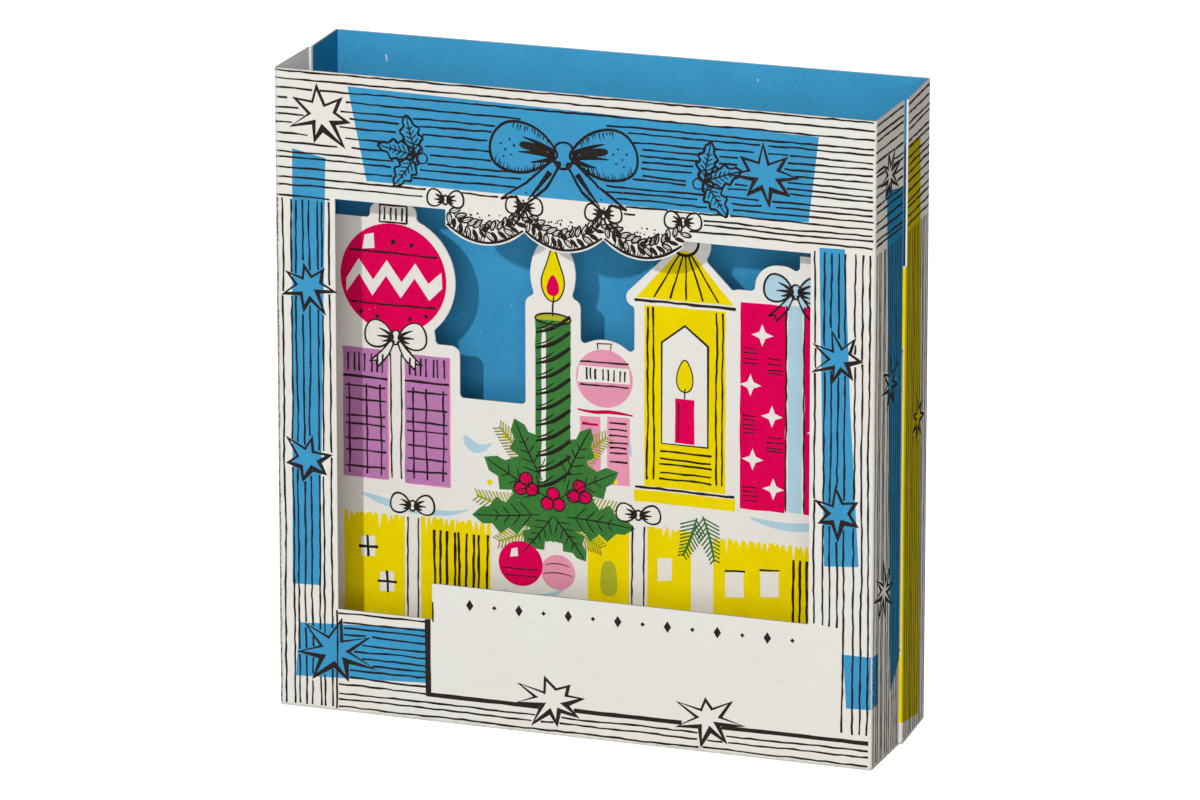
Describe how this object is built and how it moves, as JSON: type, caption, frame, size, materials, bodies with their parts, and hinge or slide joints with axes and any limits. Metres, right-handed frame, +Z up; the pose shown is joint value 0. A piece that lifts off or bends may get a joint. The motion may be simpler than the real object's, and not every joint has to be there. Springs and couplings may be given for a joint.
{
  "type": "greeting card",
  "caption": "Standing shadow-box greeting card folded from one die-cut sheet, with a front window, a cut-out scene panel behind it, a lock tab at one side and an open top and bottom.",
  "frame": {"origin": "on the surface that the card stands on, under the centre of its outline", "axes": "+X to the right as the front is looked at, +Y from the front panel to the back panel, +Z up"},
  "size_m": [0.1446, 0.0412, 0.152],
  "materials": {
    "card_stock": "uncoated white card, printed in flat inks"
  },
  "bodies": {
    "root": {"card": "card_stock"}
  },
  "joints": []
}
